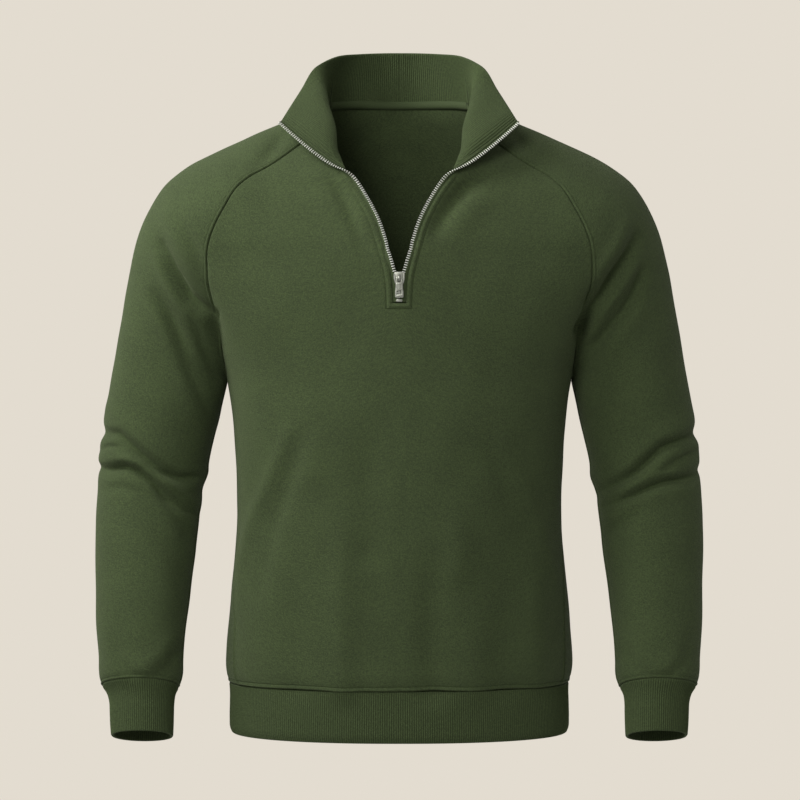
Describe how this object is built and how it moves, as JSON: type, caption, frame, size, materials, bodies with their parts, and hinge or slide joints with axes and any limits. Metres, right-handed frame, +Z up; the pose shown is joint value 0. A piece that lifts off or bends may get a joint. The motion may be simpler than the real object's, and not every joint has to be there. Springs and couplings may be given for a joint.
{
  "type": "quarter zip sweater",
  "caption": "Hollow raglan sweater with an open zip at the neck, a rolled rib collar, long sleeves, rib cuffs and a rib hem band.",
  "frame": {"origin": "middle of the neck opening, at the height where the collar starts at the sides", "axes": "+Z up the wearer's spine, +Y towards the back, +X towards the wearer's left sleeve, which is on the viewer's right"},
  "size_m": [0.6668, 0.2443, 0.7653],
  "materials": {
    "fleece": "brushed matt jersey",
    "rib": "matt rib knit",
    "tape": "matt woven tape",
    "metal": "satin nickel"
  },
  "bodies": {
    "sweater": {"front_panel": "fleece", "back_panel": "fleece", "sleeve_left": "fleece", "sleeve_right": "fleece", "collar": "rib", "hem_band": "rib", "cuff_left": "rib", "cuff_right": "rib", "neck_tape": "tape", "zip_tape_left": "tape", "zip_tape_right": "tape", "zip_slider": "metal", "zip_bottom_stop": "metal"},
    "tab": {"pull_tab": "metal"}
  },
  "joints": [
    {"name": "pull_tab_hinge", "type": "hinge", "parent": "sweater", "child": "tab", "pos_m": [0, -0.12415, -0.1739], "axis": [-1, 0, 0], "range_deg": [0, 160]}
  ]
}
